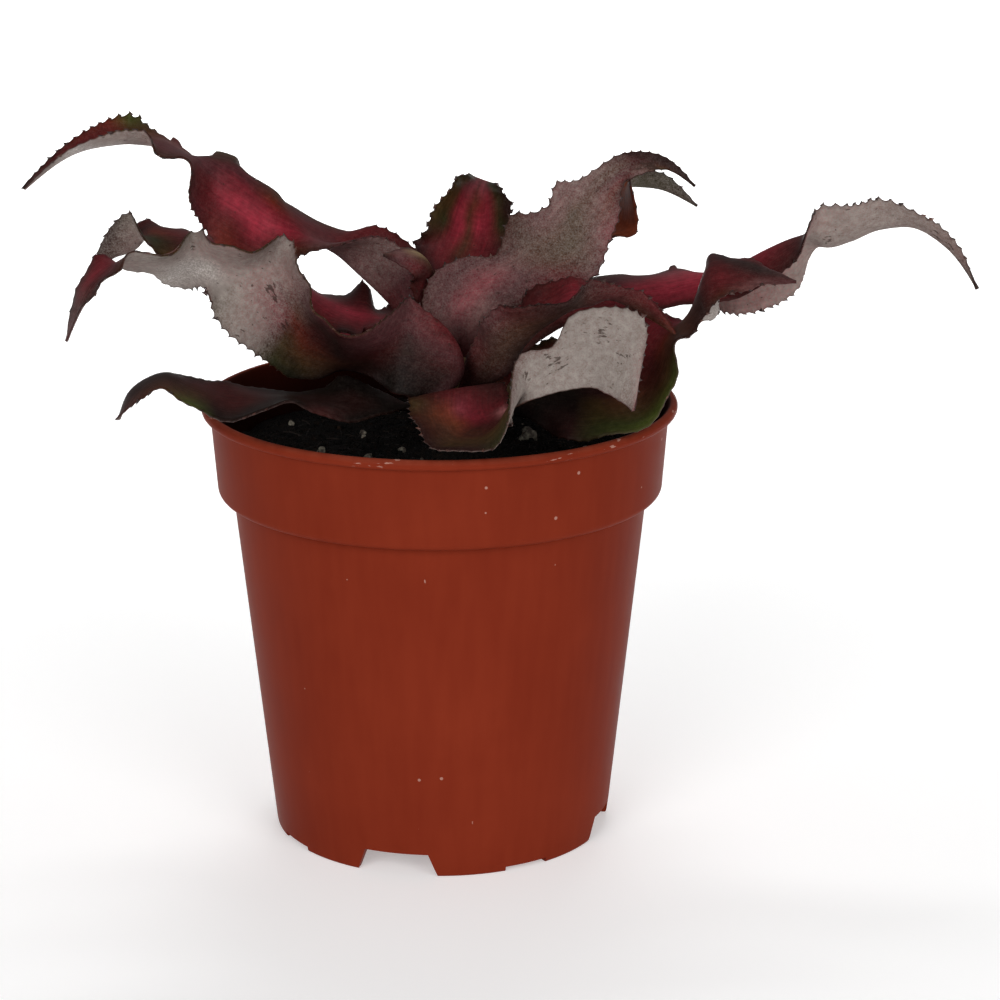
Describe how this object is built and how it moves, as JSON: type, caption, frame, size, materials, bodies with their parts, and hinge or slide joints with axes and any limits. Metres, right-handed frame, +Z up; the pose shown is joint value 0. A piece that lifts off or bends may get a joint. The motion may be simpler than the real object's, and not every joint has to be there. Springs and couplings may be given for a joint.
{
  "type": "earth star plant in a nursery pot",
  "caption": "Potted earth star bromeliad: a low rosette of wavy, spiny-edged crimson and silvery leaves on a short stem, in a collared terracotta-coloured plastic pot.",
  "frame": {"origin": "on the floor, under the middle of the whole plant's box; the pot's own axis stands 12 mm to -X and 6.5 mm to -Y of it", "axes": "+Z up out of the pot, +X along the rosette's longest spread, -Y towards the plant's front"},
  "size_m": [0.183, 0.1212, 0.1372],
  "materials": {
    "pot_plastic": "satin moulded plastic",
    "peat": "moist crumbly peat with perlite",
    "stem_bark": "dry brown bark and old leaf sheaths",
    "leaf_red": "leathery crimson leaf, silvery scales below",
    "leaf_silver": "leathery leaf seen from its silvery scaly underside",
    "leaf_olive": "leathery shaded leaf, olive and brown-red"
  },
  "bodies": {
    "root": {"pot": "pot_plastic", "peat": "peat", "stem": "stem_bark", "leaf_upper_left": "leaf_red", "leaf_upright_back": "leaf_red", "leaf_upright_right": "leaf_silver", "leaf_right_back": "leaf_olive", "leaf_long_right": "leaf_red", "leaf_low_right": "leaf_olive", "leaf_front": "leaf_red", "leaf_inner_right": "leaf_silver", "leaf_long_left": "leaf_silver", "leaf_middle_left": "leaf_red", "leaf_low_left": "leaf_olive", "leaf_heart": "leaf_olive", "leaf_rear_left": "leaf_red", "leaf_rear_low": "leaf_red", "leaf_rear_right": "leaf_red", "leaf_rear_side": "leaf_red"}
  },
  "joints": []
}
